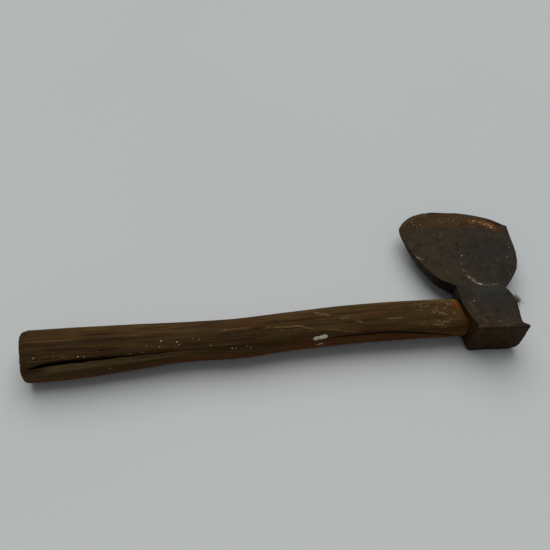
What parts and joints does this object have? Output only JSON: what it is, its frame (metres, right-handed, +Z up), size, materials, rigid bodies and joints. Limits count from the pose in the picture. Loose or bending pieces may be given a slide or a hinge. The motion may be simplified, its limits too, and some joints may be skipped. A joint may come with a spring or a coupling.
{
  "type": "hatchet",
  "caption": "Short hatchet with a broad rounded blade, a flat hammer poll and a straight wooden handle that swells at the butt.",
  "frame": {"origin": "bottom centre of the bounding box, with the hatchet lying on its side on a level surface", "axes": "+X along the handle from the butt to the head, +Y from the handle towards the cutting edge, +Z up, through the thickness of the head"},
  "size_m": [0.4112, 0.1366, 0.034],
  "materials": {
    "forged_iron": "dark brown-grey patina with rust and old dents",
    "edge_steel": "ground bevel, rusted brown and orange",
    "handle_wood": "old dark hardwood, oiled and dirty, with open checks",
    "wedge_wood": "dry hardwood end grain",
    "wedge_steel": "rusted",
    "packing_cloth": "coarse frayed sacking"
  },
  "bodies": {
    "root": {"head": "forged_iron", "steel_bit": "edge_steel", "handle": "handle_wood", "wooden_wedge": "wedge_wood", "steel_wedge": "wedge_steel", "eye_packing": "packing_cloth"}
  },
  "joints": []
}
